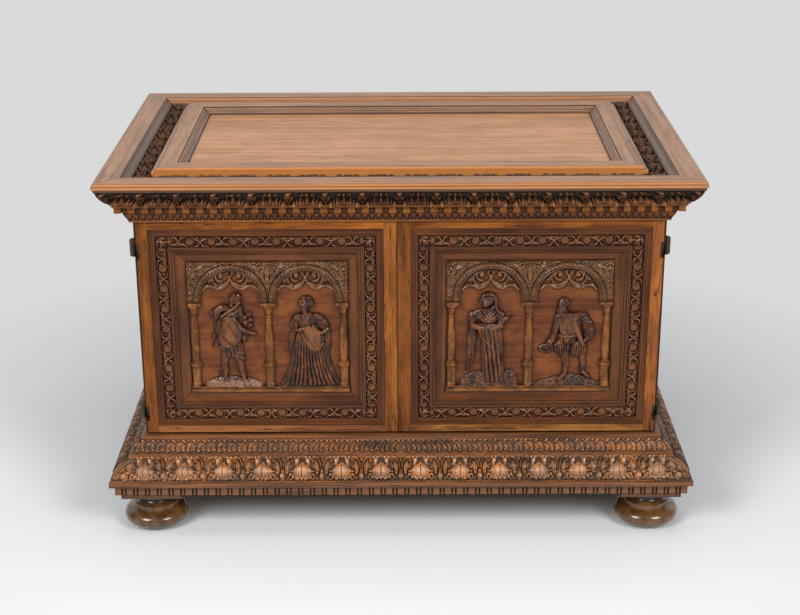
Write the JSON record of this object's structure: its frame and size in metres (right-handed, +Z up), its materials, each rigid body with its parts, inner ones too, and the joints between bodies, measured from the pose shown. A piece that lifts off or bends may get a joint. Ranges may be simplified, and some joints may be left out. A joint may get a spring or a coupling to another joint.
{
  "type": "table cabinet",
  "caption": "Low two-door table cabinet in carved walnut with a moulded cornice, arcaded relief door panels, a carved base and bun feet.",
  "frame": {"origin": "on the floor under the middle of the cabinet", "axes": "+X along the width, to the right seen from the doors; +Y from the doors to the back; +Z up"},
  "size_m": [0.647, 0.416, 0.4127],
  "materials": {
    "foot_walnut": "turned walnut, polished, olive brown",
    "base_walnut_dark": "dark walnut, waxed",
    "base_carving_walnut": "carved walnut, orange-brown crests, dark hollows",
    "inner_boards": "plain planed walnut boards, unpolished",
    "body_walnut": "walnut board with satin wax polish",
    "cornice_carving_dark": "carved dark walnut, waxed",
    "dentil_walnut": "orange-brown walnut, satin",
    "top_walnut": "pinkish-brown walnut, satin",
    "top_panel_walnut": "light tan walnut with a faint long grain",
    "hinge_pin_brass": "dull aged brass",
    "hinge_iron": "dark forged iron",
    "door_frame_walnut": "orange-brown walnut, satin",
    "door_moulding_walnut": "dark reddish walnut, satin",
    "door_carving_walnut": "carved walnut, waxed",
    "relief_ground": "reddish-brown walnut, satin",
    "arcade_wood_golden": "golden olive wood, satin"
  },
  "bodies": {
    "carcase": {"foot_front_left": "foot_walnut", "foot_front_right": "foot_walnut", "foot_back_left": "foot_walnut", "foot_back_right": "foot_walnut", "foot_pads": "base_walnut_dark", "base_dentils": "base_walnut_dark", "base_moulding_front": "base_carving_walnut", "base_moulding_back": "base_carving_walnut", "base_moulding_left": "base_carving_walnut", "base_moulding_right": "base_carving_walnut", "floor_board": "inner_boards", "side_left": "body_walnut", "side_right": "body_walnut", "back_panel": "inner_boards", "shelf": "inner_boards", "ceiling_board": "inner_boards", "bed_moulding": "cornice_carving_dark", "cornice_dentils": "dentil_walnut", "crown_front": "cornice_carving_dark", "crown_back": "cornice_carving_dark", "crown_left": "cornice_carving_dark", "crown_right": "cornice_carving_dark", "top_board": "inner_boards", "top_border_front": "top_walnut", "top_border_back": "top_walnut", "top_border_left": "top_walnut", "top_border_right": "top_walnut", "top_carved_band": "cornice_carving_dark", "top_frame": "top_walnut", "top_panel": "top_panel_walnut", "hinge_leaves_left": "hinge_iron", "hinge_leaves_right": "hinge_iron", "hinge_pins_left": "hinge_pin_brass", "hinge_pins_right": "hinge_pin_brass"},
    "left_door": {"left_door_hinge_stile": "door_frame_walnut", "left_door_meeting_stile": "door_frame_walnut", "left_door_top_rail": "door_frame_walnut", "left_door_bottom_rail": "door_frame_walnut", "left_door_reeding": "door_moulding_walnut", "left_door_carved_border": "door_carving_walnut", "left_door_inner_moulding": "door_moulding_walnut", "left_door_relief_panel": "relief_ground", "left_door_arcade": "arcade_wood_golden", "left_door_colonnettes": "arcade_wood_golden", "left_door_hinge_leaves": "hinge_iron"},
    "right_door": {"right_door_hinge_stile": "door_frame_walnut", "right_door_meeting_stile": "door_frame_walnut", "right_door_top_rail": "door_frame_walnut", "right_door_bottom_rail": "door_frame_walnut", "right_door_reeding": "door_moulding_walnut", "right_door_carved_border": "door_carving_walnut", "right_door_inner_moulding": "door_moulding_walnut", "right_door_relief_panel": "relief_ground", "right_door_arcade": "arcade_wood_golden", "right_door_colonnettes": "arcade_wood_golden", "right_door_hinge_leaves": "hinge_iron"}
  },
  "joints": [
    {"name": "left_door_hinge", "type": "hinge", "parent": "carcase", "child": "left_door", "pos_m": [-0.2884, -0.1543, 0.2315], "axis": [0, 0, 1], "range_deg": [-170, 0]},
    {"name": "right_door_hinge", "type": "hinge", "parent": "carcase", "child": "right_door", "pos_m": [0.2884, -0.1543, 0.2315], "axis": [0, 0, 1], "range_deg": [0, 170]}
  ]
}
